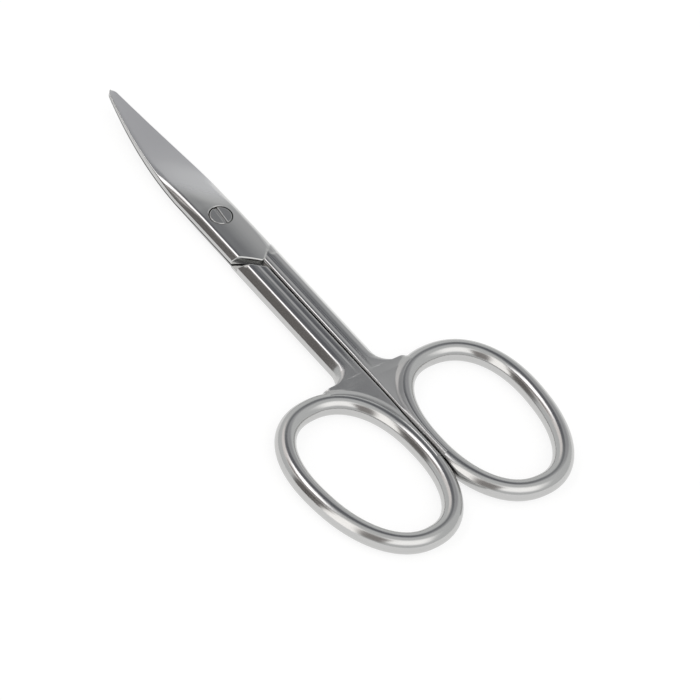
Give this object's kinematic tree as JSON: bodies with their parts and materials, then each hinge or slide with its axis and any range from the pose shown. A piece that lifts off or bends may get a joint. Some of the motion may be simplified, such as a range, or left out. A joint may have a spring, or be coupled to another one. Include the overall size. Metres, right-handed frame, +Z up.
{
  "type": "nail scissors",
  "caption": "Curved nail scissors: two steel blades that bend upward, on slim half-round shanks with oval finger rings, turning on a slotted screw.",
  "frame": {"origin": "middle of the closed scissors' footprint, on the plane they lie on", "axes": "+Y from the finger rings to the blade tips, +X to the ring of the upper half, +Z up, away from the plane they lie on"},
  "size_m": [0.0406, 0.0896, 0.004],
  "materials": {
    "polished_steel": "satin-polished stainless steel",
    "screw_steel": "turned stainless steel"
  },
  "bodies": {
    "lower": {"lower_half": "polished_steel", "pivot_screw": "screw_steel"},
    "upper": {"upper_half": "polished_steel"}
  },
  "joints": [
    {"name": "blade_opening", "type": "hinge", "parent": "lower", "child": "upper", "pos_m": [0, 0.01824, 0.00155], "axis": [0, 0, 1], "range_deg": [0, 100]}
  ]
}
